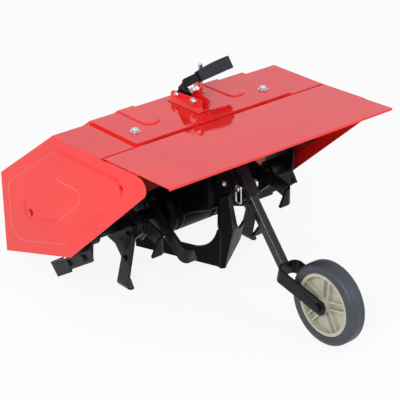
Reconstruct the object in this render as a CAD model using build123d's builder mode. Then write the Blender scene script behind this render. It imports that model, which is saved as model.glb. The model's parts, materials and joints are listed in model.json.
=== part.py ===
"""Rotary tiller attachment with a sheet-metal hood, a two-sided tine rotor and a support wheel.

Millimetres. X runs across the machine, -Y is the wheel side, +Z is up.
The origin is on the floor, in the middle of the machine's bounding box.
"""
import os
from math import atan2, cos, hypot, radians, sin, tan

from build123d import *

# Hood: sheets, deck and rear slope
hood_width = 690.0
sheet = 1.5
cut_margin = 1.0
deck_z = 430.0
deck_depth = 178.0
slope_run = 240.0
slope_drop = 175.0
centre_half = 238.0
centre_rise = 6.0
wing_tuck = 22.0
lip_drop = 45.0
notch_half = 82.0
notch_start = 300.0
notch_radius = 20.0
rib_place = 132.0
rib_half = 24.0
rib_front = 67.0
rib_rear = 330.0
rib_rise = 3.5
rib_round = 20.0

# Side panels, measured from the deck's front edge
panel_rear_drop = 393.0
panel_toe_y = 133.0
panel_toe_drop = 301.0
panel_nose_reach = 212.0
panel_nose_radius = 25.0
panel_flange = 12.0
panel_flange_start = 24.0
panel_flange_length = 110.0

# Front flap and its hinge
flap_side_gap = 6.0
flap_reach = 243.0
flap_rear_gap = 10.0
flap_tilt = 2.0
flap_lift = 0.3
flap_hem = 4.0
hinge_y = 18.0
hinge_drop = 8.0
hinge_rod_r = 4.0
hinge_eye_r = 7.0
hinge_strip_drop = 36.0
hinge_lug_width = 26.0
hinge_lug_inset = 41.0
hinge_lug_count = 5
hinge_lug_web = 8.0
hinge_lug_foot = 6.0
hinge_side_play = 1.0

# Wheel, its arm and its fork
tyre_r = 100.0
tyre_width = 44.0
tyre_shoulder = 12.0
rim_r = 76.0
rim_ring = 8.0
rim_width = 38.0
rim_web = 5.0
spoke_count = 5
spoke_phase = 167.0
spoke_spread = 18.0
spoke_thickness = 4.0
hub_r = 19.0
hub_length = 54.0
axle_r = 6.0
axle_head_r = 10.0
axle_head = 7.0
axle_play = 1.0
wheel_reach = 386.0
fork_bar = 6.0
fork_width = 36.0
fork_bend_r = 14.0
fork_end = 19.0
fork_chamfer = 9.0
arm_size = 22.0
arm_corner = 3.0
arm_wall = 4.0
arm_low = (-240.0, -300.0)
arm_high = (-58.0, -80.0)

# Rotor
rotor_y = 128.0
tine_tip_r = 172.0
shaft_r = 15.0
carrier_hub_r = 24.0
carrier_hub = 44.0
flange_thickness = 6.0
flange_edge = 16.0
tine_thickness = 7.0
tine_bend_r = 14.0
tine_foot = 48.0
tine_foot_front = 24.0
tine_lean = 13.0
tine_offset = 45.0
tine_root_width = 28.0
tine_root_reach = 35.0
tine_blade_start = 75.0
tine_blade_width = 44.0
tine_step_run = 6.0
tine_bolt_near = -3.0
tine_bolt_far = 70.0
tine_bolt_r = 8.5
tine_bolt_head = 6.0
end_washer_r = 22.0
end_washer = 5.0
outer_place = 320.0
middle_place = 201.0
inner_place = 125.0

# Carriers on the shaft: place of the flange along X, and the tines' angles from straight down
# towards the rear, in degrees, for tines that bend to +X and for tines that bend to -X
carriers = [
    ("outer_left", -outer_place, (45, 225), ()),
    ("middle_left", -middle_place, (0, 180), (90, 270)),
    ("inner_left", -inner_place, (111, 291), ()),
    ("inner_right", inner_place, (), (111, 291)),
    ("middle_right", middle_place, (0, 180), (90, 270)),
    ("outer_right", outer_place, (), (45, 225)),
]

# Gearcase and drive coupling
gearcase_half = 46.0
gearcase_front = -20.0
gearcase_low_r = 62.0
gearcase_front_drop = 218.0
gearcase_top_drop = 44.0
bore_play = 0.05
input_drop = 176.0
input_r = 38.0
input_wall = 8.0
input_collar = 16.0
input_shoulder = 6.0
input_flange_r = 62.0
input_flange = 12.0
input_face_y = 262.0
input_journal_r = 15.0
input_bolt_pcd = 100.0
input_bolt_count = 4
input_bolt_r = 5.5
input_stub_r = 12.5
input_stub = 40.0
beam_y = 62.0
beam_depth = 50.0
beam_wall = 3.0

# Arm socket and its bracket, and the centre share
socket_wall = 5.0
socket_play = 0.3
socket_start = 6.0
socket_length = 96.0
socket_pin_inset = 28.0
socket_pin_r = 6.0
socket_pin_head = 6.0
socket_pin_head_r = 10.0
socket_pin_end = 2.0
cheek = 6.0
cheek_top = 60.0
cheek_low = 182.0
cheek_foot = (-58.0, -166.0)
cheek_nose = (-104.0, -138.0)
cheek_crown = (-70.0, -84.0)
clip_wire_r = 2.0
clip_length = 44.0
clip_width = 18.0
clip_bend_r = 6.0
clip_play = 0.3
share_top = (-38.0, -187.0)
share_knee = (-56.0, -277.0)
share_tip = (-25.0, -388.0)
share_half = 78.0
share_thickness = 8.0
share_sweep = 42.0
share_neck = 18.0
share_waist = 27.0
share_waist_drop = 262.0
share_wing_drop = 290.0
share_wing_height = 54.0
share_point = 8.0
tail_out = 78.0
tail_back = 256.0
tail_fall = 11.0
tail_height = 40.0
tail_neck = 100.0
tail_neck_run = 18.0
tail_waist = (44.0, 59.0)
tail_waist_end = 90.0
shank_half = 14.0
shank_top = 150.0
shank_foot = 12.0

# Latch on the deck
ear = 4.0
ear_play = 0.5
ear_inner = 9.0
ear_front_y = 40.0
ear_rear_y = 156.0
ear_low = 26.0
ear_high = 32.0
lobe_r = 15.0
lobe_y = 80.0
lobe_rise = 46.0
latch_base = 3.0
latch_base_wide = 22.0
pivot_y = 132.0
pivot_rise = 21.0
pivot_r = 5.0
pivot_boss_wall = 4.0
lever_plate = 8.0
lever_front = 99.0
lever_rear = 138.0
lever_low = 9.0
lever_shoulder = 36.0
lever_y = 118.0
lever_rise = 50.0
lever_tilt = 30.0
lever_climb = 7.5
lever_bar = 22.0
lever_thickness = 6.0
lever_corner = 9.0
grip_start = 45.0
grip_length = 104.0
grip_low = 27.0
grip_high = 32.0
grip_bulge = 2.5
grip_depth = 16.0
grip_corner = 3.0
grip_scallops = 5
grip_scallop_r = 11.0
grip_scallop_depth = 2.2
stop_bolt_r = 7.0
stop_bolt_length = 26.0
latch_bolt_end = 2.0

# Places that follow from the sizes above
panel_x = hood_width / 2
slope_angle = atan2(slope_drop, slope_run)
hood_reach = deck_depth + slope_run
deck_y = (wheel_reach + tyre_r - hood_reach) / 2
axis_y = deck_y + rotor_y
axis_z = tine_tip_r
wheel_y = deck_y - wheel_reach
wheel_z = tyre_r
rod_y = deck_y - hinge_y
rod_z = deck_z - hinge_drop
centre_top_z = deck_z + centre_rise
beam_top_z = deck_z - sheet
beam_low_z = deck_z - gearcase_top_drop
input_z = deck_z - input_drop
gearcase_rear = rotor_y + gearcase_low_r
gearcase_shoulder = input_drop - input_r - input_shoulder
flap_width = hood_width - 2 * flap_side_gap
shaft_half = outer_place + flange_thickness / 2 + tine_thickness
rotor_lean = radians(tine_lean)

os.makedirs("parts", exist_ok=True)


def at(y, z):
    """Point of the side view, given from the deck's front edge, in the machine's frame."""
    return (deck_y + y, deck_z + z)


def hood_band(low, high, front, rear):
    """Outline of a sheet that follows deck and slope, between two offsets from the deck's top."""
    def slope_point(offset):
        return at(rear, offset / cos(slope_angle) - tan(slope_angle) * (rear - deck_depth))

    def bend_point(offset):
        return at(deck_depth + offset * tan(slope_angle / 2), offset)

    return [at(front, low), bend_point(low), slope_point(low),
            slope_point(high), bend_point(high), at(front, high)]


def write(piece, name):
    piece.part.label = name
    export_step(piece.part, f"parts/{name}.step")


# Hood deck: raised centre plate with turned-down edges, two pressed ribs and a notch for the drive
# coupling, and a wing on each side tucked under it
with BuildPart() as deck_rib:
    with BuildSketch(Plane.YZ):
        Polygon(*hood_band(centre_rise, centre_rise + rib_rise, rib_front, rib_rear), align=None)
    extrude(amount=rib_half, both=True)
    fillet(edges().filter_by(Axis.Z).group_by(Axis.Y)[0], rib_round)

with BuildPart() as deck_plate:
    with BuildSketch(Plane.YZ):
        Polygon(*hood_band(0, centre_rise, 0, hood_reach), align=None)
    extrude(amount=centre_half, both=True)
    with BuildSketch(Plane.YZ):
        Polygon(*hood_band(-cut_margin, centre_rise - sheet, sheet, hood_reach + cut_margin), align=None)
    extrude(amount=centre_half - sheet, both=True, mode=Mode.SUBTRACT)
    with BuildSketch(Plane.XY):
        with Locations((0, deck_y + notch_start + slope_run / 2)):
            RectangleRounded(2 * notch_half, slope_run, notch_radius)
    extrude(amount=2 * deck_z, mode=Mode.SUBTRACT)
    with Locations((-rib_place, 0, 0), (rib_place, 0, 0)):
        add(deck_rib.part)
write(deck_plate, "deck_plate")

wing_in = centre_half - wing_tuck
wing_out = panel_x - sheet
for side, name in ((-1, "left"), (1, "right")):
    with BuildPart() as wing:
        with BuildSketch(Plane.YZ.offset(side * wing_in)):
            Polygon(*hood_band(-sheet, 0, 0, hood_reach), align=None)
        extrude(amount=side * (wing_out - wing_in))
    write(wing, f"wing_{name}")

# Rear lip: the slope's turned-down end, open in the middle for the drive coupling
lip_top = slope_drop + sheet / cos(slope_angle)
with BuildPart() as rear_lip:
    with BuildSketch(Plane.YZ):
        with BuildLine():
            Polyline(at(hood_reach, -lip_top), at(hood_reach, -lip_top - lip_drop),
                     at(hood_reach - sheet, -lip_top - lip_drop),
                     at(hood_reach - sheet, -lip_top + sheet * tan(slope_angle)), close=True)
        make_face()
    extrude(amount=wing_out, both=True)
    with BuildSketch(Plane.XZ):
        Rectangle(2 * notch_half, 2 * deck_z)
    extrude(amount=-2 * hood_reach, mode=Mode.SUBTRACT)
write(rear_lip, "rear_lip")

# Side panels: flat sheets with a rounded nose and an inward flange that the flap rests on
flap_slope = tan(radians(flap_tilt))
for side, name in ((-1, "left"), (1, "right")):
    with BuildPart() as panel:
        with BuildSketch(Plane.YZ.offset(side * panel_x)):
            with BuildLine():
                Polyline(at(deck_depth, 0), at(hood_reach, -slope_drop),
                         at(hood_reach, -panel_rear_drop), at(panel_toe_y, -panel_toe_drop),
                         at(-panel_nose_reach, panel_nose_reach * flap_slope), at(0, 0), close=True)
            make_face()
            nose = vertices().sort_by(Axis.X)[0]
            fillet(nose, panel_nose_radius)
        extrude(amount=-side * sheet)
        with BuildSketch(Plane.YZ.offset(side * (panel_x - sheet))):
            flange_end = panel_flange_start + panel_flange_length
            with BuildLine():
                Polyline(at(-panel_flange_start, panel_flange_start * flap_slope),
                         at(-flange_end, flange_end * flap_slope),
                         at(-flange_end, flange_end * flap_slope - sheet),
                         at(-panel_flange_start, panel_flange_start * flap_slope - sheet), close=True)
            make_face()
        extrude(amount=-side * panel_flange)
    write(panel, f"side_panel_{name}")

# Hinge strip under the deck's front edge, with lugs that reach forward to hold the rod
lug_pitch = (hood_width - 2 * hinge_lug_inset) / (hinge_lug_count - 1)
lug_places = [(i - (hinge_lug_count - 1) / 2) * lug_pitch for i in range(hinge_lug_count)]
with BuildPart() as hinge_strip:
    with BuildSketch(Plane.YZ):
        with BuildLine():
            Polyline(at(0, -sheet), at(sheet, -sheet), at(sheet, -hinge_strip_drop),
                     at(0, -hinge_strip_drop), close=True)
        make_face()
    extrude(amount=wing_out, both=True)
    for lug_x in lug_places:
        with BuildSketch(Plane.YZ.offset(lug_x)):
            with Locations((rod_y, rod_z)):
                Circle(hinge_eye_r)
            with BuildLine():
                strip_low = deck_z - hinge_strip_drop
                Polyline((rod_y - hinge_lug_web / 2, rod_z), (rod_y - hinge_lug_web / 2, strip_low),
                         (deck_y, strip_low), (deck_y, strip_low + hinge_lug_foot),
                         (rod_y + hinge_lug_web / 2, strip_low + hinge_lug_foot),
                         (rod_y + hinge_lug_web / 2, rod_z), close=True)
            make_face()
        extrude(amount=hinge_lug_width / 2, both=True)
    with BuildSketch(Plane.YZ):
        with Locations((rod_y, rod_z)):
            Circle(hinge_rod_r + bore_play)
    extrude(amount=panel_x, both=True, mode=Mode.SUBTRACT)
write(hinge_strip, "hinge_strip")

with BuildPart() as hinge_rod:
    with BuildSketch(Plane.YZ):
        with Locations((rod_y, rod_z)):
            Circle(hinge_rod_r)
    extrude(amount=wing_out - hinge_side_play, both=True)
write(hinge_rod, "hinge_rod")

# Flap: one flat sheet with a turned-down front edge and eyes on the rod between the lugs
eye_places = [(a + b) / 2 for a, b in zip(lug_places, lug_places[1:])]


def flap_point(reach, offset):
    return at(-reach, flap_lift + reach * flap_slope + offset)


with BuildPart() as flap:
    with BuildSketch(Plane.YZ):
        with BuildLine():
            Polyline(flap_point(flap_rear_gap, 0), flap_point(flap_reach - sheet, 0),
                     flap_point(flap_reach - sheet, -flap_hem), flap_point(flap_reach, -flap_hem),
                     flap_point(flap_reach, sheet), flap_point(flap_rear_gap, sheet), close=True)
        make_face()
    extrude(amount=flap_width / 2, both=True)
    for eye_x in eye_places:
        with BuildSketch(Plane.YZ.offset(eye_x)):
            with Locations((rod_y, rod_z)):
                Circle(hinge_eye_r)
            with BuildLine():
                Polyline((rod_y - hinge_eye_r, rod_z), (rod_y, rod_z), flap_point(hinge_y, 0),
                         flap_point(hinge_y + hinge_eye_r, 0), close=True)
            make_face()
        extrude(amount=hinge_lug_width / 2, both=True)
    with BuildSketch(Plane.YZ):
        with Locations((rod_y, rod_z)):
            Circle(hinge_rod_r + bore_play)
    extrude(amount=panel_x, both=True, mode=Mode.SUBTRACT)
write(flap, "front_flap")

# Latch: base and two ears, pivot bolt, bent flat lever with a grip, and a stop bolt in the lobe
with BuildPart() as latch_bracket:
    with BuildSketch(Plane.XY.offset(centre_top_z)):
        with Locations((0, deck_y + (ear_front_y + ear_rear_y) / 2)):
            Rectangle(2 * latch_base_wide, ear_rear_y - ear_front_y)
    extrude(amount=latch_base)
    for side in (-1, 1):
        with BuildSketch(Plane.YZ.offset(side * ear_inner)):
            with BuildLine():
                Polyline(at(ear_front_y, centre_rise), at(ear_rear_y, centre_rise),
                         at(ear_rear_y, centre_rise + ear_low),
                         at(ear_front_y, centre_rise + ear_high), close=True)
            make_face()
            if side > 0:
                with Locations(at(lobe_y, centre_rise + lobe_rise)):
                    Circle(lobe_r)
                with Locations(at(lobe_y, centre_rise + lobe_rise / 2)):
                    Rectangle(2 * lobe_r, lobe_rise)
        extrude(amount=side * ear)
    with BuildSketch(Plane.YZ):
        with Locations(at(pivot_y, centre_rise + pivot_rise)):
            Circle(pivot_r + bore_play)
    extrude(amount=latch_base_wide, both=True, mode=Mode.SUBTRACT)
    with BuildSketch(Plane.YZ):
        with Locations(at(lobe_y, centre_rise + lobe_rise)):
            Circle(stop_bolt_r + bore_play)
    extrude(amount=latch_base_wide, mode=Mode.SUBTRACT)
write(latch_bracket, "latch_bracket")

with BuildPart() as latch_pivot:
    with BuildSketch(Plane.YZ.offset(-ear_inner - ear - latch_bolt_end)):
        with Locations(at(pivot_y, centre_rise + pivot_rise)):
            Circle(pivot_r)
    extrude(amount=2 * (ear_inner + ear + latch_bolt_end))
write(latch_pivot, "latch_pivot")

with BuildPart() as latch_stop_bolt:
    with BuildSketch(Plane.YZ.offset(ear_inner + ear + latch_bolt_end)):
        with Locations(at(lobe_y, centre_rise + lobe_rise)):
            Circle(stop_bolt_r)
    extrude(amount=-stop_bolt_length)
write(latch_stop_bolt, "latch_stop_bolt")

# Lever: an upright between the ears, and a flat bar that leans back and climbs towards +X
tilt = radians(lever_tilt)
climb = radians(lever_climb)
lever_plane = Plane(origin=(0, deck_y + lever_y, centre_top_z + lever_rise),
                    x_dir=(cos(climb), 0, sin(climb)), z_dir=(0, -cos(tilt), sin(tilt)))
with BuildPart() as latch_lever:
    with BuildSketch(lever_plane):
        bar_end = grip_start + grip_length / 2
        with Locations(((bar_end - lever_plate / 2) / 2, 0)):
            Rectangle(bar_end + lever_plate / 2, lever_bar)
        fillet(vertices().group_by(Axis.Y)[-1].sort_by(Axis.X)[0], lever_corner)
    extrude(amount=lever_thickness / 2, both=True)
    with BuildSketch(Plane.YZ):
        with BuildLine():
            bar_top = lever_bar / 2 * cos(tilt)
            bar_back = lever_bar / 2 * sin(tilt)
            Polyline(at(lever_front, centre_rise + lever_low), at(lever_rear, centre_rise + lever_low),
                     at(lever_rear, centre_rise + lever_shoulder),
                     at(lever_y + bar_back, centre_rise + lever_rise + bar_top - lever_corner),
                     at(lever_y - bar_back, centre_rise + lever_rise - bar_top),
                     at(lever_front, centre_rise + lever_shoulder), close=True)
        make_face()
    extrude(amount=lever_plate / 2, both=True)
    with BuildSketch(Plane.YZ):
        with Locations(at(pivot_y, centre_rise + pivot_rise)):
            Circle(pivot_r + pivot_boss_wall)
    extrude(amount=ear_inner - ear_play, both=True)
    with BuildSketch(Plane.YZ):
        with Locations(at(pivot_y, centre_rise + pivot_rise)):
            Circle(pivot_r + bore_play)
    extrude(amount=latch_base_wide, both=True, mode=Mode.SUBTRACT)
write(latch_lever, "latch_lever")

# Grip: moulded over the bar, higher towards its end, bulged above and scalloped below
with BuildPart() as latch_grip:
    with BuildSketch(lever_plane):
        grip_end = grip_start + grip_length
        with BuildLine():
            Polyline((grip_start, grip_low / 2), (grip_start, -grip_low / 2),
                     (grip_end, -grip_high / 2), (grip_end, grip_high / 2))
            ThreePointArc((grip_end, grip_high / 2),
                          (grip_start + grip_length / 2, (grip_low + grip_high) / 4 + grip_bulge),
                          (grip_start, grip_low / 2))
        make_face()
        fillet(vertices().group_by(Axis.X)[-1], grip_corner)
        scallop_pitch = grip_length / (grip_scallops + 1)
        scallop_y = -(grip_low + grip_high) / 4 + grip_scallop_depth - grip_scallop_r
        with Locations((grip_start + grip_length / 2, scallop_y)):
            with GridLocations(scallop_pitch, 1, grip_scallops, 1):
                Circle(grip_scallop_r, mode=Mode.SUBTRACT)
    extrude(amount=grip_depth / 2, both=True)
    with BuildSketch(lever_plane):
        with Locations((grip_start + grip_length / 4, 0)):
            Rectangle(grip_length / 2, lever_bar)
    extrude(amount=lever_thickness / 2, both=True, mode=Mode.SUBTRACT)
write(latch_grip, "latch_grip")

# Cross beam under the deck, on which hood and gearcase meet
with BuildPart() as cross_beam:
    with BuildSketch(Plane.YZ):
        with Locations((deck_y + beam_y + beam_depth / 2, (beam_top_z + beam_low_z) / 2)):
            Rectangle(beam_depth, beam_top_z - beam_low_z)
            Rectangle(beam_depth - 2 * beam_wall, beam_top_z - beam_low_z - 2 * beam_wall,
                      mode=Mode.SUBTRACT)
    extrude(amount=wing_out, both=True)
write(cross_beam, "cross_beam")

# Gearcase: round around the rotor shaft, upright to the cross beam
with BuildPart() as gearcase:
    with BuildSketch(Plane.YZ):
        with BuildLine():
            Polyline(at(gearcase_front, -gearcase_top_drop), at(beam_y + beam_depth, -gearcase_top_drop),
                     at(gearcase_rear, -gearcase_shoulder), (axis_y + gearcase_low_r, axis_z),
                     (axis_y - gearcase_low_r, axis_z),
                     at(gearcase_front, -gearcase_front_drop), close=True)
        make_face()
        with Locations((axis_y, axis_z)):
            Circle(gearcase_low_r)
    extrude(amount=gearcase_half, both=True)
    with BuildSketch(Plane.YZ):
        with Locations((axis_y, axis_z)):
            Circle(shaft_r + bore_play)
    extrude(amount=gearcase_half, both=True, mode=Mode.SUBTRACT)
write(gearcase, "gearcase")

# Drive coupling: hollow housing from the gearcase to a bolted flange, its two collars around
# the shaft with its drive stub
wall_y = deck_y + gearcase_rear
face_y = deck_y + input_face_y
input_axis = Axis((0, 0, input_z), (0, 1, 0))
with BuildPart() as input_housing:
    with BuildSketch(Plane.YZ):
        with BuildLine():
            housing_in = input_z + input_journal_r + bore_play
            housing_wide = input_z + input_r - input_wall
            Polyline((wall_y, housing_in), (wall_y, input_z + input_r),
                     (face_y - input_flange, input_z + input_r),
                     (face_y - input_flange, input_z + input_flange_r),
                     (face_y, input_z + input_flange_r), (face_y, housing_in),
                     (face_y - input_collar, housing_in), (face_y - input_collar, housing_wide),
                     (wall_y + input_collar, housing_wide), (wall_y + input_collar, housing_in),
                     close=True)
        make_face()
    revolve(axis=input_axis)
    with BuildSketch(Plane.XZ.offset(-face_y)):
        with Locations((0, input_z)):
            with PolarLocations(input_bolt_pcd / 2, input_bolt_count, 45):
                Circle(input_bolt_r)
    extrude(amount=input_flange, mode=Mode.SUBTRACT)
write(input_housing, "input_housing")

with BuildPart() as input_shaft:
    with BuildSketch(Plane.YZ):
        with BuildLine():
            Polyline((wall_y, input_z), (wall_y, input_z + input_journal_r),
                     (face_y, input_z + input_journal_r), (face_y, input_z + input_stub_r),
                     (face_y + input_stub, input_z + input_stub_r), (face_y + input_stub, input_z),
                     close=True)
        make_face()
    revolve(axis=input_axis)
write(input_shaft, "input_shaft")

# Arm socket: square sleeve along the arm, held by two cheeks on the gearcase
arm_run = arm_low[0] - arm_high[0]
arm_fall = arm_low[1] - arm_high[1]
arm_length = hypot(arm_run, arm_fall)
arm_dir = (0, arm_run / arm_length, arm_fall / arm_length)
arm_top = (0, *at(*arm_high))


def along_arm(distance):
    """Plane across the arm, its origin on the arm's line, its X along the machine's X."""
    origin = tuple(p + distance * d for p, d in zip(arm_top, arm_dir))
    return Plane(origin=origin, x_dir=(1, 0, 0), z_dir=arm_dir)


socket_inside = arm_size + 2 * socket_play
socket_outside = socket_inside + 2 * socket_wall
pin_distance = socket_start + socket_length - socket_pin_inset
pin_plane = along_arm(pin_distance)
with BuildPart() as arm_socket:
    with BuildSketch(along_arm(socket_start)):
        Rectangle(socket_outside, socket_outside)
        Rectangle(socket_inside, socket_inside, mode=Mode.SUBTRACT)
    extrude(amount=socket_length)
    with BuildSketch(Plane.YZ.offset(pin_plane.origin.X)):
        with Locations((pin_plane.origin.Y, pin_plane.origin.Z)):
            Circle(socket_pin_r + bore_play)
    extrude(amount=hood_width, both=True, mode=Mode.SUBTRACT)
write(arm_socket, "arm_socket")

cheek_x = socket_outside / 2
with BuildPart() as socket_cheeks:
    for side in (-1, 1):
        with BuildSketch(Plane.YZ.offset(side * cheek_x)):
            with BuildLine():
                Polyline(at(gearcase_front, -cheek_top), at(gearcase_front, -cheek_low),
                         at(*cheek_foot), at(*cheek_nose), at(*cheek_crown), close=True)
            make_face()
        extrude(amount=side * cheek)
    with BuildSketch(Plane.YZ):
        with Locations((pin_plane.origin.Y, pin_plane.origin.Z)):
            Circle(socket_pin_r + bore_play)
    extrude(amount=hood_width, both=True, mode=Mode.SUBTRACT)
write(socket_cheeks, "socket_cheeks")

pin_half = cheek_x + cheek
with BuildPart() as socket_pin:
    with BuildSketch(Plane.YZ.offset(pin_half)):
        with Locations((pin_plane.origin.Y, pin_plane.origin.Z)):
            Circle(socket_pin_head_r)
    extrude(amount=socket_pin_head)
    with BuildSketch(Plane.YZ.offset(pin_half)):
        with Locations((pin_plane.origin.Y, pin_plane.origin.Z)):
            Circle(socket_pin_r)
    extrude(amount=-(2 * pin_half + 4 * clip_wire_r + socket_pin_end))
write(socket_pin, "socket_pin")

# Spring clip: a closed wire loop that hangs on the pin's end
clip_x = -pin_half - clip_wire_r - clip_play
clip_high = pin_plane.origin.Z + socket_pin_r + clip_wire_r + clip_play
clip_low = clip_high - clip_length
clip_side = clip_width / 2
with BuildPart() as pin_clip:
    with BuildLine(Plane.YZ.offset(clip_x)) as clip_path:
        clip_y = pin_plane.origin.Y
        FilletPolyline((clip_y - clip_side, clip_low), (clip_y + clip_side, clip_low),
                       (clip_y + clip_side, clip_high), (clip_y - clip_side, clip_high),
                       radius=clip_bend_r, close=True)
    with BuildSketch(Plane(origin=clip_path.line @ 0, z_dir=clip_path.line % 0)):
        Circle(clip_wire_r)
    sweep(path=clip_path.line)
write(pin_clip, "pin_clip")

# Fork: flat bar bent to a U round the wheel, its back on the end of the arm
fork_inner = hub_length / 2 + axle_play
arm_end = along_arm(arm_length).origin
fork_back = hypot(arm_end.Y - wheel_y, arm_end.Z - wheel_z)
fork_dir = (0, (arm_end.Y - wheel_y) / fork_back, (arm_end.Z - wheel_z) / fork_back)
fork_plane = Plane(origin=(0, wheel_y, wheel_z), x_dir=(1, 0, 0), z_dir=(0, -fork_dir[2], fork_dir[1]))
with BuildPart() as wheel_fork:
    for half, back, mode in ((fork_inner + fork_bar, fork_back, Mode.ADD),
                             (fork_inner, fork_back - fork_bar, Mode.SUBTRACT)):
        with BuildSketch(fork_plane):
            with Locations((0, (back - fork_end) / 2)):
                Rectangle(2 * half, back + fork_end)
            fillet(vertices().group_by(Axis.Y)[-1], fork_bend_r + half - fork_inner)
        extrude(amount=fork_width / 2, both=True, mode=mode)
    chamfer(edges().filter_by(Axis.X).filter_by(lambda edge: edge.length < 2 * fork_bar), fork_chamfer)
    with BuildSketch(Plane.YZ):
        with Locations((wheel_y, wheel_z)):
            Circle(axle_r + bore_play)
    extrude(amount=hood_width, both=True, mode=Mode.SUBTRACT)
write(wheel_fork, "wheel_fork")

# Wheel arm: square tube with rounded edges, from the socket to the fork's back
with BuildPart() as wheel_arm:
    with BuildSketch(along_arm(0)):
        RectangleRounded(arm_size, arm_size, arm_corner)
        Rectangle(arm_size - 2 * arm_wall, arm_size - 2 * arm_wall, mode=Mode.SUBTRACT)
    extrude(amount=arm_length + arm_size)
    with BuildSketch(fork_plane):
        with Locations((0, fork_back - arm_length / 2)):
            Rectangle(2 * arm_size, arm_length)
    extrude(amount=arm_length, both=True, mode=Mode.SUBTRACT)
    with BuildSketch(Plane.YZ):
        with Locations((pin_plane.origin.Y, pin_plane.origin.Z)):
            Circle(socket_pin_r + bore_play)
    extrude(amount=hood_width, both=True, mode=Mode.SUBTRACT)
write(wheel_arm, "wheel_arm")

with BuildPart() as wheel_axle:
    axle_half = fork_inner + fork_bar
    with BuildSketch(Plane.YZ):
        with Locations((wheel_y, wheel_z)):
            Circle(axle_r)
    extrude(amount=axle_half, both=True)
    for side in (-1, 1):
        with BuildSketch(Plane.YZ.offset(side * axle_half)):
            with Locations((wheel_y, wheel_z)):
                RegularPolygon(axle_head_r, 6)
        extrude(amount=side * axle_head)
write(wheel_axle, "wheel_axle")

# Wheel: moulded rim with paired spokes and a solid rubber tyre
wheel_axis = Axis((0, wheel_y, wheel_z), (1, 0, 0))
with BuildPart() as wheel_rim:
    with BuildSketch(Plane.YZ):
        with Locations((wheel_y, wheel_z)):
            Circle(rim_r)
            Circle(rim_r - rim_ring, mode=Mode.SUBTRACT)
    extrude(amount=rim_width / 2, both=True)
    with BuildSketch(Plane.YZ):
        with Locations((wheel_y, wheel_z)):
            Circle(rim_r - rim_ring)
    extrude(amount=rim_web / 2, both=True)
    with BuildSketch(Plane.YZ):
        with Locations((wheel_y, wheel_z)):
            Circle(hub_r)
    extrude(amount=hub_length / 2, both=True)
    with BuildSketch(Plane.YZ):
        with Locations((wheel_y, wheel_z)):
            spoke_middle = (hub_r + rim_r - rim_ring) / 2
            with PolarLocations(spoke_middle, spoke_count, spoke_phase):
                with Locations((0, spoke_spread / 2), (0, -spoke_spread / 2)):
                    Rectangle(rim_r - rim_ring - hub_r + 2 * spoke_thickness, spoke_thickness)
    extrude(amount=rim_width / 2 - spoke_thickness, both=True)
    with BuildSketch(Plane.YZ):
        with Locations((wheel_y, wheel_z)):
            Circle(axle_r + bore_play)
    extrude(amount=hub_length / 2, both=True, mode=Mode.SUBTRACT)
write(wheel_rim, "wheel_rim")

with BuildPart() as wheel_tyre:
    with BuildSketch(Plane.XY.offset(wheel_z)):
        with Locations((0, wheel_y - (tyre_r + rim_r + 2 * bore_play) / 2)):
            Rectangle(tyre_width, tyre_r - rim_r - 2 * bore_play)
        outer = vertices().group_by(Axis.Y)[0]
        fillet(outer, tyre_shoulder)
    revolve(axis=wheel_axis)
write(wheel_tyre, "wheel_tyre")

# Rotor: through shaft with end washers
with BuildPart() as rotor_shaft:
    with BuildSketch(Plane.YZ):
        with Locations((axis_y, axis_z)):
            Circle(shaft_r)
    extrude(amount=shaft_half, both=True)
    for side in (-1, 1):
        with BuildSketch(Plane.YZ.offset(side * shaft_half)):
            with Locations((axis_y, axis_z)):
                Circle(end_washer_r)
        extrude(amount=side * end_washer)
write(rotor_shaft, "rotor_shaft")

# Tine that points down from the rotor's axis, its plate at X = 0 and its foot bent towards +X.
# The strip runs ahead of the axis and leans, so that the foot lies flat under the axis.
strip_front = -tine_offset - tine_blade_width / 2
strip_rear = -tine_offset + tine_blade_width / 2
root_front = -tine_offset - tine_root_width / 2
root_rear = -tine_offset + tine_root_width / 2
strip_end = -tine_tip_r - tine_blade_width
foot_shift = tine_tip_r * tan(rotor_lean)
with BuildPart() as tine:
    bend_top = -(tine_tip_r - tine_thickness - tine_bend_r)
    bend_outer = tine_bend_r + tine_thickness
    plate_top = tine_root_reach + tine_offset
    with BuildSketch(Plane.XZ):
        with BuildLine():
            Line((0, plate_top), (0, bend_top))
            CenterArc((bend_outer, bend_top), bend_outer, 180, 90)
            Polyline((bend_outer, -tine_tip_r), (tine_foot, -tine_tip_r),
                     (tine_foot, -tine_tip_r + tine_thickness), (bend_outer, -tine_tip_r + tine_thickness))
            CenterArc((bend_outer, bend_top), tine_bend_r, 180, 90)
            Polyline((tine_thickness, bend_top), (tine_thickness, plate_top), (0, plate_top))
        make_face()
    extrude(amount=tine_tip_r, both=True)
    with BuildSketch(Plane.YZ):
        Polygon((root_front, tine_root_reach), (root_front, -tine_blade_start),
                (strip_front, -tine_blade_start - tine_step_run), (strip_front, strip_end),
                (strip_rear, strip_end), (root_rear, -tine_blade_start), (root_rear, tine_root_reach),
                rotation=tine_lean, align=None)
    extrude(amount=tine_tip_r, both=True, mode=Mode.INTERSECT)
    with BuildSketch(Plane.XY.offset(-tine_tip_r - cut_margin)):
        front_y = foot_shift + strip_front / cos(rotor_lean)
        rear_y = foot_shift + strip_rear / cos(rotor_lean)
        Polygon((tine_foot_front, front_y), (tine_foot_front, front_y - tine_foot),
                (2 * tine_foot, front_y - tine_foot), (2 * tine_foot, rear_y), (tine_foot, rear_y), align=None)
    extrude(amount=2 * tine_thickness, mode=Mode.SUBTRACT)
    with BuildSketch(Plane.YZ):
        with Locations(Location((0, 0), tine_lean)):
            with Locations((-tine_offset, -tine_bolt_near), (-tine_offset, -tine_bolt_far)):
                RegularPolygon(tine_bolt_r, 6)
    extrude(amount=-tine_bolt_head)

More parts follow.
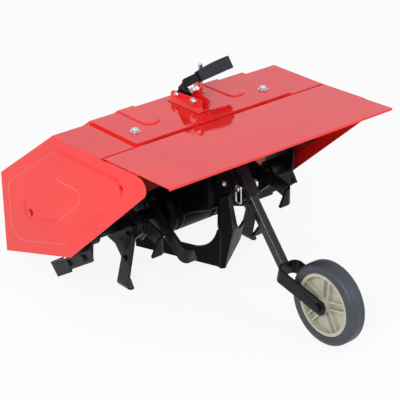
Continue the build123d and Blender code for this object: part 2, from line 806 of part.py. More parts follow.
# Carriers: a six-cornered flange for each pair of tines, a hub, and the tines on both faces
flange_near = flange_edge - tine_bolt_near
flange_far = -flange_edge - tine_bolt_far
flange_corners = [(-tine_offset - flange_edge, flange_near), (-tine_offset - flange_edge, flange_far),
                  (-tine_offset + flange_edge, flange_far)]
flange_corners += [(-y, -z) for y, z in flange_corners]
tine_mirrored = mirror(tine.part, about=Plane.YZ)
for name, place, plus_turns, minus_turns in carriers:
    with BuildPart() as carrier:
        for turn in plus_turns[:1] + minus_turns[:1]:
            with BuildSketch(Plane.YZ.offset(place)):
                with Locations(Location((axis_y, axis_z), turn + tine_lean)):
                    Polygon(*flange_corners, align=None)
            extrude(amount=flange_thickness / 2, both=True)
        with BuildSketch(Plane.YZ.offset(place)):
            with Locations((axis_y, axis_z)):
                Circle(carrier_hub_r)
        extrude(amount=carrier_hub if place < 0 else -carrier_hub)
        for blade, turns, way in ((tine.part, plus_turns, 1), (tine_mirrored, minus_turns, -1)):
            plate_x = place - way * (tine_thickness + flange_thickness / 2)
            for turn in turns:
                with Locations(Location((plate_x, axis_y, axis_z), (turn, 0, 0))):
                    add(blade)
        with BuildSketch(Plane.YZ):
            with Locations((axis_y, axis_z)):
                Circle(shaft_r + bore_play)
        extrude(amount=hood_width, both=True, mode=Mode.SUBTRACT)
    write(carrier, f"tine_carrier_{name}")

# Centre share: a shank from the gearcase, and a ridged nose with two swept wings
share_back = share_thickness + share_sweep * shank_half / share_half
with BuildPart() as share_shank:
    with BuildSketch(Plane.YZ):
        with BuildLine():
            Polyline(at(gearcase_front, -shank_top), at(gearcase_front, -gearcase_front_drop),
                     at(share_knee[0] + share_back + shank_foot, share_knee[1]),
                     at(share_knee[0] + share_back, share_knee[1]),
                     at(share_top[0] + share_back, share_top[1]),
                     at(share_top[0] + share_back, -shank_top), close=True)
        make_face()
    extrude(amount=shank_half, both=True)
write(share_shank, "share_shank")

# The share is a chevron in plan, drawn out up and down its ridge and trimmed to its front outline:
# a short wing on the right, and on the left an upright tail that runs back between the inner tines
tip_y, tip_z = at(*share_tip)
tail_plane = Plane(origin=(0, tip_y, tip_z), x_dir=(-tail_out, tail_back, -tail_fall),
                   z_dir=(tail_back, tail_out, 0))
tail_length = hypot(tail_out, tail_back)
with BuildPart() as share:
    nose_y = deck_y + share_knee[0]
    for end in (share_top, share_tip):
        ridge = (0, end[0] - share_knee[0], end[1] - share_knee[1])
        with BuildSketch(Plane.XY.offset(deck_z + share_knee[1])):
            with BuildLine():
                Polyline((0, nose_y), (share_half, nose_y + share_sweep),
                         (share_half, nose_y + share_sweep + share_thickness),
                         (shank_half, nose_y + share_back), (-shank_half, nose_y + share_back),
                         (-share_half, nose_y + share_sweep + share_thickness),
                         (-share_half, nose_y + share_sweep), close=True)
            make_face()
        extrude(amount=hypot(*ridge), dir=ridge)
    with BuildSketch(Plane.XZ):
        with BuildLine():
            top_z = deck_z + share_top[1]
            waist_z = deck_z - share_waist_drop
            wing_z = deck_z - share_wing_drop
            Polyline((share_waist, waist_z), (share_neck, top_z), (-share_neck, top_z),
                     (-share_waist, waist_z), (-share_point, tip_z), (share_point, tip_z),
                     (share_half, wing_z - share_wing_height), (share_half, wing_z))
            TangentArc((share_waist, waist_z), (share_half, wing_z), tangent=(0, -1))
        make_face()
    extrude(amount=hood_width, both=True, mode=Mode.INTERSECT)
    with BuildSketch(tail_plane):
        with BuildLine():
            Polyline((tail_waist_end, tail_height), (tail_length, tail_height), (tail_length, 0), (0, 0),
                     (0, tail_neck), (tail_neck_run, tail_neck))
            ThreePointArc((tail_neck_run, tail_neck), tail_waist, (tail_waist_end, tail_height))
        make_face()
    extrude(amount=share_thickness)
write(share, "share")
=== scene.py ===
"""Looks of a rotary tiller attachment: finishes, rounded edges, pressings, fasteners, light and camera.

Metres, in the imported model's frame: X across the machine, -Y towards the support wheel, +Z up.
"""
import json
from math import atan2, cos, pi, radians, sin, tan

import bmesh
import bpy
from mathutils import Matrix, Quaternion, Vector


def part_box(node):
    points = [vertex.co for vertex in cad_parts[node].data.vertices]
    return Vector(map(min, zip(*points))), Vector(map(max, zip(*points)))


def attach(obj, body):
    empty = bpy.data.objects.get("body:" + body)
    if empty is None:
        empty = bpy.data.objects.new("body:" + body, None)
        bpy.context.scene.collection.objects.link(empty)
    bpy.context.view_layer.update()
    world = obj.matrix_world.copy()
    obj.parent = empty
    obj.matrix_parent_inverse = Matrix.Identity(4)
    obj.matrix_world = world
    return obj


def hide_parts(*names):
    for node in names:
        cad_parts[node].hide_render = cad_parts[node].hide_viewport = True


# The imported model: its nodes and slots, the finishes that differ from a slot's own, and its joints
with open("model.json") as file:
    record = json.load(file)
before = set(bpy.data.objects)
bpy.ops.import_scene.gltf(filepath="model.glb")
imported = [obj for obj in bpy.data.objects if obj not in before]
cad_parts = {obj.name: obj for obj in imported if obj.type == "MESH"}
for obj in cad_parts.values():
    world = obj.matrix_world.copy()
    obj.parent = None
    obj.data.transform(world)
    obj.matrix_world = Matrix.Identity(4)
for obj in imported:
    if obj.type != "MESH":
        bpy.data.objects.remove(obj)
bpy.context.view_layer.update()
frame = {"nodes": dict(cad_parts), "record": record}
nodes = frame["nodes"]
slot_of = {part["node"]: part["material_slot"] for part in frame["record"]["subparts"]}
finish_of = {**slot_of, "wheel_axle": "black_paint", "wheel_arm": "black_gloss",
             **dict.fromkeys(("share", "share_shank", "gearcase", "cross_beam"), "black_cast")}
joint_place = {joint["name"]: Vector(joint["pos_m"]) for joint in frame["record"]["behaviour"]["joints"]}

# Camera at the photograph's viewpoint
camera_place = Vector((-2.110, -2.453, 1.791))
camera_target = Vector((-0.0538, 0.0355, 0.2357))
camera_roll = radians(-0.819)
camera_lens = 135.0
camera_sensor = 36

# Studio: lamps as (place, size, power), the world's light and what the eye sees of it, and the floor
lamps = {
    "key": ((-2.6, -1.9, 2.2), 1.0, 62),
    "fill": ((1.2, -3.0, 2.0), 1.6, 25),
    "side": ((-3.2, 0.5, 1.3), 2.0, 13),
}
lamp_target = Vector((0, 0, 0.25))
world_light = 0.62
sky_colour = (0.93, 0.955, 1.04, 1)
floor_half = 30
floor_lift = 0.88

# Edges: the gap that is welded, the angles of flat faces and sharp edges, and the rounding of the pieces
weld_gap = 1e-5
flat_angle = radians(0.2)
sharp_angle = radians(35)
sheet_edge = 0.0004
plate_edge = 0.0010
bar_edge = 0.0015
moulded_edge = 0.0020
cast_edge = 0.0040
edge_steps = 2
round_profile = 0.5
flat_weight = 100
carriers = [f"tine_carrier_{row}_{side}"
            for row in ("outer", "middle", "inner") for side in ("left", "right")]
edges_of = {
    sheet_edge: ["wing_left", "wing_right", "rear_lip", "hinge_strip", "front_flap"],
    plate_edge: ["latch_lever", "wheel_fork", "socket_cheeks", "arm_socket", "wheel_rim",
                 "input_shaft", "socket_pin", "rotor_shaft", *carriers],
    bar_edge: ["share", "share_shank", "cross_beam", "input_housing"],
    moulded_edge: ["latch_grip"],
    cast_edge: ["gearcase"],
}

# Hood: the deck's front edge and top, which places on it are measured from, and its centre plate with ribs
deck_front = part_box("wing_left")[0][1]
deck_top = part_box("wing_left")[1][2]
plate_high = 0.006
rib_place = 0.132
rib_half = 0.0245
rib_edge = 0.0015
rib_steps = 3

# Side panel: its corners as (along Y, along Z) from the deck's front edge, from the nose round by the toe
panel_sheet = 0.0015
panel_corners = [Vector(corner) for corner in (
    (-0.212, 0.0074), (0.133, -0.301), (0.418, -0.393), (0.418, -0.175), (0.178, 0.0), (0.0, 0.0))]
nose_radius = 0.025
flange_start, flange_end = -0.024, -0.134
flange_width = 0.012

# Pressings of the panel: insets of each edge, corner radii in the corners' order, height and width of a step
field_insets = [0.028] * 5
field_radii = [0.030, 0.045, 0.045, 0.040, 0.040]
inner_insets = [0.084, 0.086, 0.096, 0.086, 0.106]
inner_radii = [0.022, 0.030, 0.030, 0.030, 0.030]
step_height = 0.0025
step_width = 0.009
step_shape = ((0, 0), (0.2, 0.06), (0.4, 0.32), (0.6, 0.68), (0.8, 0.94), (1, 1))
arc_steps = 8
dimples = [(-0.074, -0.046), (0.297, -0.242)]
dimple_radius, dimple_height = 0.009, 0.003

# Baffle behind the hinge strip: its face and its hem's end along Y, its top and its foot along Z, all from
# the deck's front edge, the bend between them, and its reach in X
baffle_face, baffle_hem = 0.0014, 0.0122
baffle_top, baffle_foot = -0.0330, -0.1222
baffle_bend, bend_steps = 0.003, 3
baffle_reach = (0.056, 0.3405)

# Tyre: half of its profile as (radius, distance from its middle), from the bead out to the tread's middle
tyre_profile = [(0.0765, 0.0195), (0.0775, 0.0212), (0.0800, 0.0218), (0.0820, 0.0208), (0.0850, 0.0208),
                (0.0870, 0.0219), (0.0890, 0.0219), (0.0926, 0.0214), (0.0960, 0.0196), (0.0985, 0.0168),
                (0.0997, 0.0134), (0.0998, 0.0120), (0.0986, 0.0113), (0.0986, 0.0105), (0.0999, 0.0098),
                (0.1000, 0.0)]
tyre_sides = 96

# Axle housings beside the gearcase: bores for the shaft and the tines' hubs, profile as (radius, distance
# from the case's side), and a ring of bolts
shaft_play = 0.0175
hub_play, hub_seat = 0.0265, 0.033
housing_profile = [(0.062, 0.0), (0.062, 0.010), (0.060, 0.012), (0.060, 0.024), (0.062, 0.026),
                   (0.062, 0.034), (0.060, 0.036), (0.060, 0.042), (0.052, 0.049)]
housing_sides = 64
housing_bolts = 6
housing_bolt_ring = 0.044
housing_bolt_sink = 0.0005

# Latch bracket: round corners of its ears, the height above the deck from which they are rounded, and the
# share of an edge's way along X from which it runs across
ear_corner = 0.009
corner_steps = 5
ear_foot = 0.020
runs_across = 0.99

# Turned shapes: their sides, and the shares of a fastener's height that its edge takes
round_sides = 32
hex_sides = 6
dome_steps = 5
washer_edge = 0.25
head_edge = 0.2

# Fasteners: washers and hex heads as (radius, height), domed heads as (radius, height, straight foot)
deck_washer, deck_head = (0.0125, 0.0022), (0.0095, 0.0065)
ear_washer, ear_head = (0.0105, 0.0020), (0.0090, 0.0050)
pivot_head = (0.0064, 0.0045, 0.0015)
stop_head = (0.0095, 0.0090, 0.0030)
cheek_washer, cheek_head = (0.0085, 0.0016), (0.0068, 0.0045, 0.0015)
stud_nut = (0.0090, 0.0070)
stud_radius, stud_high = 0.0056, 0.0815
stud_edge, stud_sides = 0.001, 24
housing_head = (0.0065, 0.0045)
shaft_head = (0.0095, 0.0028)

# Places of the fasteners: on the deck as (across X, along Y), on the ears as (along Y, along Z)
deck_bolt = (0.198, 0.058)
stud_place = (0.070, 0.143)
ear_face, ear_inside = -0.013, 0.009
ear_bolt = (0.069, 0.028)
pivot_end = (0.132, 0.027)
stop_end = (0.080, 0.052)
cheek_bolt = Vector((-0.0223, -0.0162, 0.2889))
shaft_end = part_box("rotor_shaft")[1][0]


def add_node(tree, kind, **inputs):
    """A shader node with its input sockets set by name."""
    node = tree.nodes.new(kind)
    for name, value in inputs.items():
        node.inputs[name.replace("_", " ")].default_value = value
    return node


def new_material(name, colour, roughness, **inputs):
    """A material with its node tree and its shader, whose other sockets are set by name."""
    material = bpy.data.materials.new(name)
    material.use_nodes = True
    shader = material.node_tree.nodes["Principled BSDF"]
    shader.inputs["Base Color"].default_value = (*colour, 1)
    shader.inputs["Roughness"].default_value = roughness
    for key, value in inputs.items():
        shader.inputs[key.replace("_", " ")].default_value = value
    material.diffuse_color = (*colour, 1)
    return material, material.node_tree, shader


def noise(tree, scale, detail=3.0, roughness=0.5, stretch=(1, 1, 1)):
    """Noise in the piece's own metres, so that it moves with the piece."""
    place = tree.nodes.new("ShaderNodeTexCoord")
    mapping = add_node(tree, "ShaderNodeMapping", Scale=stretch)
    texture = add_node(tree, "ShaderNodeTexNoise", Scale=scale, Detail=detail, Roughness=roughness)
    tree.links.new(place.outputs["Object"], mapping.inputs["Vector"])
    tree.links.new(mapping.outputs["Vector"], texture.inputs["Vector"])
    return texture.outputs["Fac"]


def spread(tree, source, low, high, start=0.3, end=0.7):
    """Maps a texture's middle range to a range of values."""
    node = add_node(tree, "ShaderNodeMapRange")
    for name, value in (("From Min", start), ("From Max", end), ("To Min", low), ("To Max", high)):
        node.inputs[name].default_value = value
    tree.links.new(source, node.inputs["Value"])
    return node.outputs["Result"]


def tint(tree, source, low, high):
    """Colour that runs from low to high with a texture."""
    node = tree.nodes.new("ShaderNodeMix")
    node.data_type = "RGBA"
    node.inputs["A"].default_value = (*low, 1)
    node.inputs["B"].default_value = (*high, 1)
    tree.links.new(spread(tree, source, 0, 1), node.inputs["Factor"])
    return node.outputs["Result"]


def bump(tree, shader, height, strength, distance, under=None):
    """Bumps a shader by a texture, on top of another bump if there is one."""
    node = add_node(tree, "ShaderNodeBump", Strength=strength, Distance=distance)
    tree.links.new(height, node.inputs["Height"])
    if under:
        tree.links.new(under, node.inputs["Normal"])
    tree.links.new(node.outputs["Normal"], shader.inputs["Normal"])
    return node.outputs["Normal"]


def red_paint():
    """Gloss enamel on sheet steel: mirror-like, with a faint wave of the sheet and orange peel."""
    material, tree, shader = new_material("red_paint", (0.80, 0.016, 0.012), 0.05, IOR=1.5)
    tree.links.new(tint(tree, noise(tree, 5), (0.76, 0.014, 0.011), (0.84, 0.018, 0.014)),
                   shader.inputs["Base Color"])
    tree.links.new(spread(tree, noise(tree, 60), 0.03, 0.08), shader.inputs["Roughness"])
    wave = bump(tree, shader, noise(tree, 14, 1), 0.10, 0.004)
    bump(tree, shader, noise(tree, 380, 2), 0.04, 0.0006, wave)
    return material


def red_painted_shade():
    """Dark dull red on the baffle inside the hood: painted shade of the hood's inside."""
    material, tree, shader = new_material("red_painted_shade", (0.12, 0.006, 0.004),
                                          0.55, Specular_IOR_Level=0.08)
    tree.links.new(tint(tree, noise(tree, 20), (0.10, 0.005, 0.0035), (0.14, 0.007, 0.005)),
                   shader.inputs["Base Color"])
    tree.links.new(spread(tree, noise(tree, 80), 0.48, 0.62), shader.inputs["Roughness"])
    bump(tree, shader, noise(tree, 380, 2), 0.06, 0.0005)
    return material


def black_paint():
    """Satin black paint over steel, slightly uneven, with a blue cast."""
    material, tree, shader = new_material("black_paint", (0.005, 0.006, 0.008),
                                          0.30, Specular_IOR_Level=0.16)
    tree.links.new(tint(tree, noise(tree, 24), (0.004, 0.0052, 0.0072), (0.007, 0.0090, 0.0120)),
                   shader.inputs["Base Color"])
    tree.links.new(spread(tree, noise(tree, 70), 0.16, 0.30), shader.inputs["Roughness"])
    bump(tree, shader, noise(tree, 420, 3), 0.10, 0.0005)
    return material


def black_cast():
    """Thin black paint on castings and on the share: darker and duller than the other black."""
    material, tree, shader = new_material("black_cast", (0.003, 0.0036, 0.0048),
                                          0.36, Specular_IOR_Level=0.05)
    tree.links.new(tint(tree, noise(tree, 30), (0.002, 0.0026, 0.0036), (0.004, 0.0050, 0.0066)),
                   shader.inputs["Base Color"])
    tree.links.new(spread(tree, noise(tree, 90), 0.28, 0.44), shader.inputs["Roughness"])
    bump(tree, shader, noise(tree, 300, 3), 0.16, 0.0006)
    return material


def black_gloss():
    """Gloss black paint on the wheel's arm, slightly uneven."""
    material, tree, shader = new_material("black_gloss", (0.004, 0.005, 0.007),
                                          0.14, Specular_IOR_Level=0.4)
    tree.links.new(tint(tree, noise(tree, 24), (0.003, 0.004, 0.006), (0.006, 0.007, 0.009)),
                   shader.inputs["Base Color"])
    tree.links.new(spread(tree, noise(tree, 70), 0.10, 0.20), shader.inputs["Roughness"])
    bump(tree, shader, noise(tree, 420, 3), 0.05, 0.0004)
    return material


def zinc_steel():
    """Bright zinc plating: brushed along X, with faint yellow and blue patches."""
    material, tree, shader = new_material("zinc_steel", (0.66, 0.66, 0.64), 0.28, Metallic=1.0)
    tree.links.new(tint(tree, noise(tree, 90), (0.58, 0.60, 0.62), (0.74, 0.72, 0.66)),
                   shader.inputs["Base Color"])
    tree.links.new(spread(tree, noise(tree, 300), 0.20, 0.36), shader.inputs["Roughness"])
    bump(tree, shader, noise(tree, 900, 2, stretch=(0.1, 1, 1)), 0.10, 0.0003)
    return material


def grip_plastic():
    """Moulded grip: dark slate with a fine grain."""
    material, tree, shader = new_material("grip_plastic", (0.016, 0.021, 0.028),
                                          0.45, Specular_IOR_Level=0.22)
    tree.links.new(tint(tree, noise(tree, 60), (0.013, 0.018, 0.024), (0.019, 0.025, 0.033)),
                   shader.inputs["Base Color"])
    tree.links.new(spread(tree, noise(tree, 500), 0.40, 0.55), shader.inputs["Roughness"])
    bump(tree, shader, noise(tree, 1400, 2), 0.18, 0.0004)
    return material


def rim_plastic():
    """Moulded rim: cream, faintly mottled, with a fine grain."""
    material, tree, shader = new_material("rim_plastic", (0.45, 0.45, 0.36), 0.48)
    tree.links.new(tint(tree, noise(tree, 40), (0.40, 0.40, 0.32), (0.49, 0.48, 0.38)),
                   shader.inputs["Base Color"])
    tree.links.new(spread(tree, noise(tree, 300), 0.42, 0.56), shader.inputs["Roughness"])
    bump(tree, shader, noise(tree, 900, 2), 0.10, 0.0004)
    return material


def tyre_rubber():
    """Solid rubber: dark slate, with a dusty bloom and a moulded grain."""
    material, tree, shader = new_material("tyre_rubber", (0.032, 0.039, 0.050), 0.5)
    tree.links.new(tint(tree, noise(tree, 30), (0.027, 0.033, 0.043), (0.038, 0.046, 0.058)),
                   shader.inputs["Base Color"])
    tree.links.new(spread(tree, noise(tree, 200), 0.40, 0.56), shader.inputs["Roughness"])
    bump(tree, shader, noise(tree, 1100, 3), 0.16, 0.0005)
    return material


def floor_white():
    """Pale floor: lit, so that it takes the shadow, and lifted towards white where it is seen."""
    material, tree, shader = new_material("floor_white", (0.90, 0.90, 0.90), 0.9)
    light = add_node(tree, "ShaderNodeEmission", Color=(1, 1, 1, 1), Strength=1.0)
    path = tree.nodes.new("ShaderNodeLightPath")
    seen = seen_by_eye(tree, path)
    share = tree.nodes.new("ShaderNodeMath")
    share.operation = "MULTIPLY"
    share.inputs[1].default_value = floor_lift
    mix = tree.nodes.new("ShaderNodeMixShader")
    tree.links.new(seen, share.inputs[0])
    tree.links.new(share.outputs["Value"], mix.inputs["Fac"])
    tree.links.new(shader.outputs["BSDF"], mix.inputs[1])
    tree.links.new(light.outputs["Emission"], mix.inputs[2])
    tree.links.new(mix.outputs["Shader"], tree.nodes["Material Output"].inputs["Surface"])
    return material


def seen_by_eye(tree, path):
    """1 for rays that the camera sees directly, in a reflection or through glass."""
    total = path.outputs["Is Camera Ray"]
    for name in ("Is Glossy Ray", "Is Transmission Ray"):
        either = tree.nodes.new("ShaderNodeMath")
        either.operation = "MAXIMUM"
        tree.links.new(total, either.inputs[0])
        tree.links.new(path.outputs[name], either.inputs[1])
        total = either.outputs["Value"]
    return total


finishes = (red_paint, red_painted_shade, black_paint, black_cast, black_gloss,
            zinc_steel, grip_plastic, rim_plastic, tyre_rubber)
materials = {make.__name__: make() for make in finishes}
for name, piece in nodes.items():
    piece.data.materials.clear()
    piece.data.materials.append(materials[finish_of[name]])


def new_piece(name, form, body, slot, replaced=(), finish=None):
    """An object of a mesh form, in its slot's finish or a variant of it, that rides on a body."""
    bmesh.ops.remove_doubles(form, verts=form.verts, dist=weld_gap)
    bmesh.ops.recalc_face_normals(form, faces=form.faces)
    mesh = bpy.data.meshes.new(name)
    form.to_mesh(mesh)
    form.free()
    mesh.materials.append(materials[finish or slot])
    piece = bpy.data.objects.new(name, mesh)
    bpy.context.scene.collection.objects.link(piece)
    smooth(piece)
    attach(piece, body)
    if replaced:
        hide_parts(*replaced)


def smooth(piece):
    """Shades a piece smooth, with its flat faces kept flat."""
    piece.data.polygons.foreach_set("use_smooth", [True] * len(piece.data.polygons))
    modifier = piece.modifiers.new("flat_faces", "WEIGHTED_NORMAL")
    modifier.weight = flat_weight


def round_edges(name, width):
    """Rounds a solid's sharp edges, as pressing, casting or paint leaves them."""
    piece = nodes[name]
    weld = piece.modifiers.new("weld", "WELD")
    weld.merge_threshold = weld_gap
    bevel = piece.modifiers.new("rounded_edges", "BEVEL")
    bevel.limit_method = "ANGLE"
    bevel.angle_limit = sharp_angle
    bevel.width = width
    bevel.segments = edge_steps
    smooth(piece)


def turned(form, place, axis, profile, count=round_sides):
    """Adds a turned shape: its profile's (radius, height) pairs about an axis. Six sides make a hex."""
    turn = Matrix.Translation(place) @ Vector(axis).to_track_quat("Z", "X").to_matrix().to_4x4()
    rings = []
    for radius, height in profile:
        around = [2 * pi * step / count for step in range(count if radius else 1)]
        points = [Vector((radius * cos(angle), radius * sin(angle), height)) for angle in around]
        rings.append([form.verts.new(turn @ point) for point in points])
    for low, high in zip(rings, rings[1:]):
        for i in range(count):
            corners = [ring[k % len(ring)] for ring, k in ((low, i), (low, i + 1), (high, i + 1), (high, i))]
            form.faces.new(list(dict.fromkeys(corners)))


def pin(form, place, axis, radius, height, rise, inset, count=round_sides):
    """Adds a straight pin with a bevelled end: the bevel's rise along the axis, and its inset."""
    top = [(radius, height - rise), (radius - inset, height), (0, height)]
    turned(form, place, axis, [(0, 0), (radius, 0), *top], count)


def washer(form, place, axis, radius, height):
    """Adds a washer with a fine edge."""
    edge = washer_edge * height
    pin(form, place, axis, radius, height, edge, edge)


def hex_head(form, place, axis, radius, height):
    """Adds a hex head or nut."""
    edge = head_edge * height
    pin(form, place, axis, radius, height, edge, 2 * edge, hex_sides)


def bolt(form, place, axis, under, head):
    """Adds a washer with a hex head on it."""
    washer(form, place, axis, *under)
    hex_head(form, place + Vector(axis) * under[1], axis, *head)


def domed(form, place, axis, radius, height, foot=0.0):
    """Adds a round head with a domed top, on a straight foot."""
    angles = [pi / 2 * step / dome_steps for step in range(dome_steps)]
    dome = [(radius * cos(angle), foot + (height - foot) * sin(angle)) for angle in angles]
    turned(form, place, axis, [(0, 0), (radius, 0), *dome, (0, height)])


def on_hood(x, along, height):
    """A point given from the deck's front edge and top."""
    return Vector((x, deck_front + along, deck_top + height))


def panel_loop(insets, radii):
    """The panel's outline moved inwards, with an inset for each edge and a radius for each corner.

    A pressing has one corner less: its top edge runs straight to the nose.
    """
    count = len(radii)
    lines = []
    for i, start in enumerate(panel_corners[:count]):
        way = (panel_corners[(i + 1) % count] - start).normalized()
        inward = Vector((-way.y, way.x))
        lines.append((start + inward * insets[i], way, inward))
    points = []
    for i, radius in enumerate(radii):
        (before, way_in, inward), (after, way_out, _) = lines[i - 1], lines[i]
        across = way_in.cross(way_out)
        corner = before + way_in * ((after - before).cross(way_out) / across)
        turn = atan2(across, way_in.dot(way_out))
        start = corner - way_in * (radius * tan(turn / 2))
        for step in range(arc_steps + 1):
            angle = turn * step / arc_steps
            points.append(start + inward * (radius * (1 - cos(angle))) + way_in * (radius * sin(angle)))
    if count < len(panel_corners):
        first, last = points[0], points[-1]
        points += [last.lerp(first, step / (arc_steps + 2)) for step in range(1, arc_steps + 2)]
    return points


def pressed_steps(insets, radii, base, rise):
    """Loops of a step pressed into the panel: its height goes from base by rise, along an S."""
    for run, share in step_shape:
        moved = [inset + run * step_width for inset in insets]
        tighter = [max(radius - run * step_width, 0) for radius in radii]
        yield panel_loop(moved, tighter), base + share * rise


def side_panel(name, side):
    """Pressed side panel: a raised field, a sunk field inside it, two dimples and a flange under the flap."""
    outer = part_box(name)[0 if side < 0 else 1][0]
    edge = [0.0] * len(panel_corners)
    rim = [sheet_edge] * len(panel_corners)
    nose_only = [nose_radius] + edge[1:]
    face = [(panel_loop(rim, nose_only), 0.0), *pressed_steps(field_insets, field_radii, 0.0, step_height),
            *pressed_steps(inner_insets, inner_radii, step_height, -step_height)]
    stack = [(loop, height - panel_sheet) for loop, height in reversed(face)]
    stack += [(panel_loop(edge, nose_only), height) for height in (sheet_edge - panel_sheet, -sheet_edge)]
    form = bmesh.new()
    rings = []
    for loop, height in stack + face:
        rings.append([form.verts.new(on_hood(outer + side * height, *point)) for point in loop])
    for low, high in zip(rings, rings[1:]):
        for i in range(len(low)):
            j = (i + 1) % len(low)
            form.faces.new((low[i], low[j], high[j], high[i]))
    form.faces.new(rings[0])
    form.faces.new(rings[-1])
    for place in dimples:
        domed(form, on_hood(outer + side * step_height, *place), (side, 0, 0), dimple_radius, dimple_height)
    panel_flange(form, outer - side * panel_sheet, -side)
    new_piece(f"{name}_pressed", form, "frame", slot_of[name], [name])


def panel_flange(form, root, inward):
    """Adds the strip that is bent inwards under the flap's side, along the panel's top edge."""
    slope = -panel_corners[0].y / panel_corners[0].x
    section = []
    for depth in (0, panel_sheet):
        for across in (-panel_sheet / 2, flange_width):
            section.append((root + inward * across, -depth - sheet_edge))
    ends = []
    for along in (flange_start, flange_end):
        lift = -along * slope
        ends.append([form.verts.new(on_hood(x, along, lift + z)) for x, z in section])
    order = (0, 1, 3, 2)
    for k in range(4):
        i, j = order[k], order[(k + 1) % 4]
        form.faces.new((ends[0][i], ends[0][j], ends[1][j], ends[1][i]))
    for end in ends:
        form.faces.new([end[k] for k in order])


def deck_pressed():
    """The deck's plate, with round edges on its two ribs and a fine edge on its sheet."""
    form = bmesh.new()
    form.from_mesh(nodes["deck_plate"].data)
    bmesh.ops.remove_doubles(form, verts=form.verts, dist=weld_gap)
    bmesh.ops.dissolve_limit(form, angle_limit=flat_angle, verts=form.verts, edges=form.edges)

    def sharp_edges(wanted):
        return [edge for edge in form.edges if len(edge.link_faces) == 2
                and edge.calc_face_angle() > sharp_angle and all(map(wanted, edge.verts))]

    def on_rib(vert):
        return abs(abs(vert.co.x) - rib_place) < rib_half

    ribs = sharp_edges(on_rib)
    rest = [edge for edge in sharp_edges(lambda vert: True) if edge not in ribs]
    bmesh.ops.bevel(form, geom=rest, offset=sheet_edge, segments=edge_steps, profile=round_profile,
                    affect="EDGES")
    ribs = sharp_edges(on_rib)
    bmesh.ops.bevel(form, geom=ribs, offset=rib_edge, segments=rib_steps, profile=round_profile,
                    affect="EDGES")
    new_piece("deck_plate_pressed", form, "frame", "red_paint", ["deck_plate"])


def latch_rounded():
    """The latch's bracket, with round corners on its ears."""
    form = bmesh.new()
    form.from_mesh(nodes["latch_bracket"].data)
    bmesh.ops.remove_doubles(form, verts=form.verts, dist=weld_gap)
    bmesh.ops.dissolve_limit(form, angle_limit=flat_angle, verts=form.verts, edges=form.edges)
    corners = []
    for edge in form.edges:
        low, high = (vert.co for vert in edge.verts)
        across = abs((high - low).normalized().x) > runs_across
        if across and low.z > deck_top + ear_foot and edge.calc_face_angle(0) > sharp_angle:
            corners.append(edge)
    bmesh.ops.bevel(form, geom=corners, offset=ear_corner, segments=corner_steps, profile=round_profile,
                    affect="EDGES")
    new_piece("latch_bracket_rounded", form, "frame", "red_paint", ["latch_bracket"])


def front_baffle():
    """Sheet on each side that hangs behind the hinge strip and closes the hood's front above the tines; its
    dark dull red is painted shade.
    """
    form = bmesh.new()
    path = [Vector((baffle_face, baffle_top))]
    for step in range(bend_steps + 1):
        angle = pi / 2 * step / bend_steps
        path.append(Vector((baffle_face + baffle_bend * (1 - cos(angle)),
                            baffle_foot + baffle_bend * (1 - sin(angle)))))
    path.append(Vector((baffle_hem, baffle_foot)))
    outline = path + [point + Vector((panel_sheet, panel_sheet)) for point in reversed(path)]
    for side in (-1, 1):
        ends = [[form.verts.new(on_hood(side * x, *point)) for point in outline] for x in baffle_reach]
        for i in range(len(outline)):
            j = (i + 1) % len(outline)
            form.faces.new((ends[0][i], ends[0][j], ends[1][j], ends[1][i]))
        for end in ends:
            form.faces.new(end)
    new_piece("front_baffle", form, "frame", "red_paint", finish="red_painted_shade")


def tyre():
    """Solid tyre with a bead line on its sides and a groove near each edge of its tread."""
    form = bmesh.new()
    other = [(radius, -across) for radius, across in reversed(tyre_profile[:-1])]
    profile = tyre_profile + other + tyre_profile[:1]
    turned(form, joint_place["wheel_spin"], (1, 0, 0), profile, tyre_sides)
    new_piece("tyre_moulded", form, "wheel", "tyre_rubber", ["wheel_tyre"])


def axle_housings():
    """Round bearing housings on both sides of the gearcase, with ribs and bolts, open for shaft and hubs."""
    form = bmesh.new()
    low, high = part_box("gearcase")
    end = housing_profile[-1][1]
    bore = [(hub_play, end), (hub_play, hub_seat), (shaft_play, hub_seat), (shaft_play, 0.0)]
    for side, face in ((-1, low[0]), (1, high[0])):
        place = joint_place["rotor_spin"].copy()
        place.x = face
        turned(form, place, (side, 0, 0), bore[-1:] + housing_profile + bore, housing_sides)
        for step in range(housing_bolts):
            angle = 2 * pi * step / housing_bolts
            around = Vector((0, cos(angle), sin(angle))) * housing_bolt_ring
            seat = place + around + Vector((side * (end - housing_bolt_sink), 0, 0))
            hex_head(form, seat, (side, 0, 0), *housing_head)
    new_piece("axle_housings", form, "frame", "black_paint", finish="black_cast")


def frame_fasteners():
    """Bolts and washers of the hood, the latch and the arm's socket, and the latch's upright stud."""
    form = bmesh.new()
    up, left = (0, 0, 1), (-1, 0, 0)
    for side in (-1, 1):
        bolt(form, on_hood(side * deck_bolt[0], deck_bolt[1], plate_high), up, deck_washer, deck_head)
    bolt(form, on_hood(ear_face, *ear_bolt), left, ear_washer, ear_head)
    domed(form, on_hood(ear_face, *pivot_end), left, *pivot_head)
    domed(form, on_hood(ear_inside, *stop_end), left, *stop_head)
    foot = on_hood(*stud_place, plate_high)
    hex_head(form, foot, up, *stud_nut)
    pin(form, foot, up, stud_radius, stud_high - plate_high, stud_edge, stud_edge, stud_sides)
    washer(form, cheek_bolt, left, *cheek_washer)
    domed(form, cheek_bolt + Vector(left) * cheek_washer[1], left, *cheek_head)
    new_piece("frame_fasteners", form, "frame", "zinc_steel")


def rotor_fasteners():
    """Flat hex heads that hold the rotor's end washers."""
    form = bmesh.new()
    for side in (-1, 1):
        place = joint_place["rotor_spin"] + Vector((side * shaft_end, 0, 0))
        hex_head(form, place, (side, 0, 0), *shaft_head)
    new_piece("rotor_fasteners", form, "rotor", "zinc_steel")


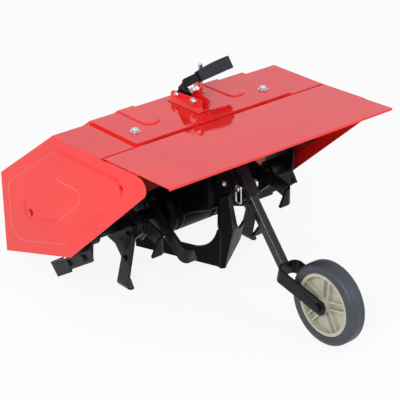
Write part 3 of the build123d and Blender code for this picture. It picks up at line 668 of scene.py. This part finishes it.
side_panel("side_panel_left", -1)
side_panel("side_panel_right", 1)
deck_pressed()
latch_rounded()
front_baffle()
tyre()
axle_housings()
frame_fasteners()
rotor_fasteners()
for width, names in edges_of.items():
    for name in names:
        round_edges(name, width)


def add_floor():
    """Wide pale floor, which isn't part of the object."""
    mesh = bpy.data.meshes.new("floor")
    form = bmesh.new()
    bmesh.ops.create_grid(form, x_segments=1, y_segments=1, size=floor_half)
    form.to_mesh(mesh)
    form.free()
    floor = bpy.data.objects.new("floor", mesh)
    bpy.context.scene.collection.objects.link(floor)
    mesh.materials.append(floor_white())


def add_light(name, place, size, power):
    """Round soft lamp that faces the machine."""
    data = bpy.data.lights.new(name, "AREA")
    data.shape = "DISK"
    data.size = size
    data.energy = power
    lamp = bpy.data.objects.new(name, data)
    lamp.location = place
    lamp.rotation_mode = "QUATERNION"
    lamp.rotation_quaternion = (lamp_target - Vector(place)).to_track_quat("-Z", "Y")
    bpy.context.scene.collection.objects.link(lamp)


def add_world():
    """Even white light all round, and a brighter white where the world is seen."""
    world = bpy.data.worlds.new("studio")
    world.use_nodes = True
    tree = world.node_tree
    lit = tree.nodes["Background"]
    lit.inputs["Color"].default_value = (1, 1, 1, 1)
    lit.inputs["Strength"].default_value = world_light
    white = add_node(tree, "ShaderNodeBackground", Color=sky_colour, Strength=1.0)
    mix = tree.nodes.new("ShaderNodeMixShader")
    path = tree.nodes.new("ShaderNodeLightPath")
    tree.links.new(seen_by_eye(tree, path), mix.inputs["Fac"])
    tree.links.new(lit.outputs["Background"], mix.inputs[1])
    tree.links.new(white.outputs["Background"], mix.inputs[2])
    tree.links.new(mix.outputs["Shader"], tree.nodes["World Output"].inputs["Surface"])
    bpy.context.scene.world = world


def add_camera():
    """Camera at the photograph's place, with its slight roll."""
    data = bpy.data.cameras.new("camera")
    data.lens = camera_lens
    data.sensor_width = camera_sensor
    camera = bpy.data.objects.new("camera", data)
    camera.location = camera_place
    camera.rotation_mode = "QUATERNION"
    straight = (camera_target - camera_place).to_track_quat("-Z", "Y")
    camera.rotation_quaternion = straight @ Quaternion((0, 0, 1), camera_roll)
    bpy.context.scene.collection.objects.link(camera)
    bpy.context.scene.camera = camera


add_floor()
add_world()
for name, lamp in lamps.items():
    add_light(name, *lamp)
add_camera()
bpy.context.scene.view_settings.view_transform = "Standard"
